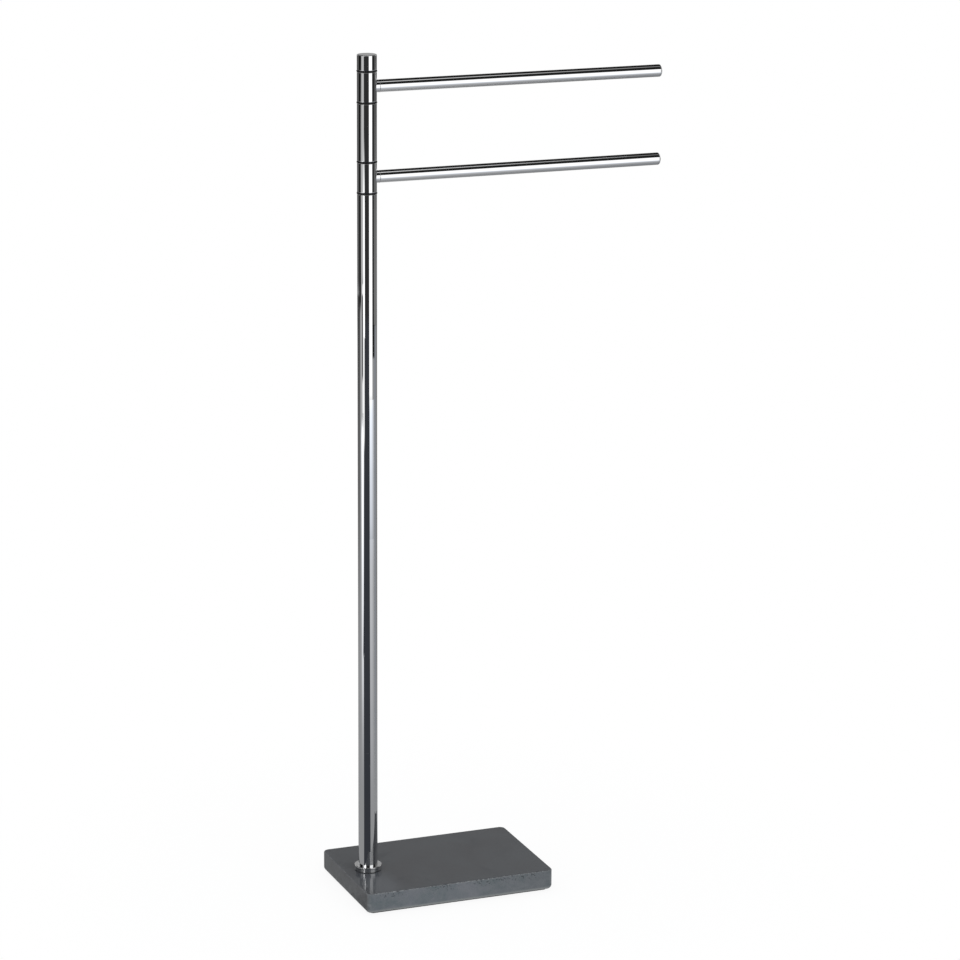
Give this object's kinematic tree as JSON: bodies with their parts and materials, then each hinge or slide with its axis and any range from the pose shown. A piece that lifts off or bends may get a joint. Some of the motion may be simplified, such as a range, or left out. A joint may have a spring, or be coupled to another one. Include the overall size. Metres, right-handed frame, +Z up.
{
  "type": "freestanding towel stand",
  "caption": "Freestanding towel stand: a heavy rectangular stone-resin base, an off-centre chrome column, and swivelling chrome towel arms near its head.",
  "frame": {"origin": "on the floor, under the middle of the base slab", "axes": "+Z up the column; +X along the slab's long side, the way both arms point at rest; +Y across the slab, away from the picture's viewer"},
  "size_m": [0.3796, 0.156, 0.9705],
  "materials": {
    "stone": "cast stone resin, ground and sealed to a satin gloss",
    "chrome": "polished chrome plate",
    "black_ring": "black nylon, moulded",
    "bush": "natural nylon",
    "soft_sheet": "closed-cell rubber sheet",
    "steel": "bright zinc plate",
    "aluminium": "as turned"
  },
  "bodies": {
    "stand": {"base_slab": "stone", "anti_slip_pad": "soft_sheet", "base_bolt": "steel", "base_washer": "steel", "flange_gasket": "soft_sheet", "base_flange": "chrome", "column_tube": "chrome", "column_lower_insert": "aluminium", "column_upper_insert": "aluminium", "spindle_rod": "steel", "lower_bottom_ring": "black_ring", "lower_top_ring": "black_ring", "upper_bottom_ring": "black_ring", "upper_top_ring": "black_ring", "spacer_tube": "chrome", "spacer_bottom_plug": "aluminium", "spacer_top_plug": "aluminium", "thrust_washer": "steel", "disc_spring": "steel", "spindle_nut": "steel", "top_cap": "chrome"},
    "lower_arm": {"lower_collar": "chrome", "lower_collar_bottom_bush": "bush", "lower_collar_top_bush": "bush", "lower_arm_stud": "steel", "lower_arm_neck": "chrome", "lower_arm_tube": "chrome", "lower_arm_insert": "aluminium", "lower_arm_end_cap": "chrome"},
    "upper_arm": {"upper_collar": "chrome", "upper_collar_bottom_bush": "bush", "upper_collar_top_bush": "bush", "upper_arm_stud": "steel", "upper_arm_neck": "chrome", "upper_arm_tube": "chrome", "upper_arm_insert": "aluminium", "upper_arm_end_cap": "chrome"}
  },
  "joints": [
    {"name": "upper_arm_swivel", "type": "hinge", "parent": "stand", "child": "upper_arm", "pos_m": [-0.0854, 0, 0.935], "axis": [0, 0, 1], "continuous": true},
    {"name": "lower_arm_swivel", "type": "hinge", "parent": "stand", "child": "lower_arm", "pos_m": [-0.0854, 0, 0.8346], "axis": [0, 0, 1], "continuous": true}
  ]
}
